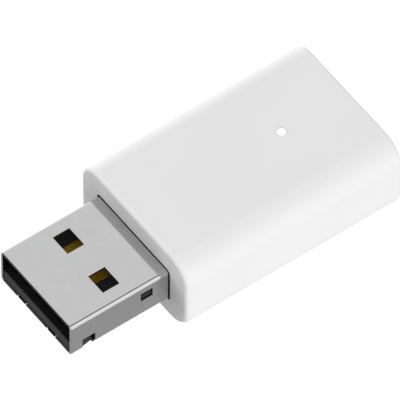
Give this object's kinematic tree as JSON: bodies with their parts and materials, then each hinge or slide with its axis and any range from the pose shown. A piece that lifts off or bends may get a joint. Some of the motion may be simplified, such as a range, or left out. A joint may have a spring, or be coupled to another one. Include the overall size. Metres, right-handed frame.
{
  "type": "usb bluetooth audio receiver",
  "caption": "Slim white USB dongle that receives wireless audio: rounded sleeve, USB type A plug at the front, status light on top and a 3.5 mm audio socket in the rear cap.",
  "frame": {"origin": "on the USB plug's axis, in the plane of the sleeve's front face", "axes": "+Y from the plug towards the rear cap and the audio socket, +Z out of the face with the status light, +X across the width"},
  "size_m": [0.0178, 0.0387, 0.0101],
  "materials": {
    "white_housing": "fine matt moulded white ABS",
    "white_cap": "fine matt moulded white ABS, slightly duller than the sleeve",
    "light_pipe": "milky white light pipe",
    "board_laminate": "green solder mask over glass-epoxy laminate",
    "plug_steel": "nickel-plated stamped steel, smooth and reflective",
    "plug_insulator": "black moulded glass-filled plastic",
    "contact_gold": "gold-flashed copper alloy",
    "socket_plastic": "black moulded plastic, satin",
    "terminal_metal": "tinned brass strip",
    "spring_bronze": "phosphor bronze leaf with a plated contact point",
    "chip_epoxy": "black epoxy package with tinned leads",
    "ferrite": "dark grey sintered ferrite",
    "crystal_can": "nickel lid on a pale ceramic base",
    "antenna_ceramic": "pale sintered ceramic",
    "lamp_resin": "clear resin over a white lamp base",
    "capacitor_ceramic": "tan sintered ceramic with tinned ends",
    "resistor_glaze": "black glaze on white ceramic with tinned ends",
    "solder": "bright solder"
  },
  "bodies": {
    "receiver": {"housing_sleeve": "white_housing", "rear_cap": "white_cap", "light_pipe": "light_pipe", "circuit_board": "board_laminate", "usb_shell": "plug_steel", "usb_insulator": "plug_insulator", "usb_contact_vbus": "contact_gold", "usb_contact_dminus": "contact_gold", "usb_contact_dplus": "contact_gold", "usb_contact_gnd": "contact_gold", "jack_housing": "socket_plastic", "jack_tip_terminal": "terminal_metal", "jack_ring_terminal": "terminal_metal", "jack_ground_terminal": "terminal_metal", "bluetooth_soc": "chip_epoxy", "config_memory": "chip_epoxy", "voltage_regulator": "chip_epoxy", "power_inductor": "ferrite", "crystal": "crystal_can", "chip_antenna": "antenna_ceramic", "status_led": "lamp_resin", "esd_protector": "chip_epoxy", "output_capacitors": "capacitor_ceramic", "ceramic_capacitors": "capacitor_ceramic", "chip_resistors": "resistor_glaze", "ferrite_beads": "ferrite", "solder_joints": "solder"},
    "tip_leaf": {"jack_tip_spring": "spring_bronze"},
    "ring_leaf": {"jack_ring_spring": "spring_bronze"},
    "ground_leaf": {"jack_ground_spring": "spring_bronze"}
  },
  "joints": [
    {"name": "tip_spring_flex", "type": "hinge", "parent": "receiver", "child": "tip_leaf", "pos_m": [0.00268, 0.0131, 0], "axis": [0, 0, -1], "range_deg": [0, 9]},
    {"name": "ring_spring_flex", "type": "hinge", "parent": "receiver", "child": "ring_leaf", "pos_m": [-0.00268, 0.0219, 0], "axis": [0, 0, -1], "range_deg": [0, 8]},
    {"name": "ground_spring_flex", "type": "hinge", "parent": "receiver", "child": "ground_leaf", "pos_m": [0.00268, 0.0187, 0], "axis": [0, 0, -1], "range_deg": [0, 7]}
  ]
}
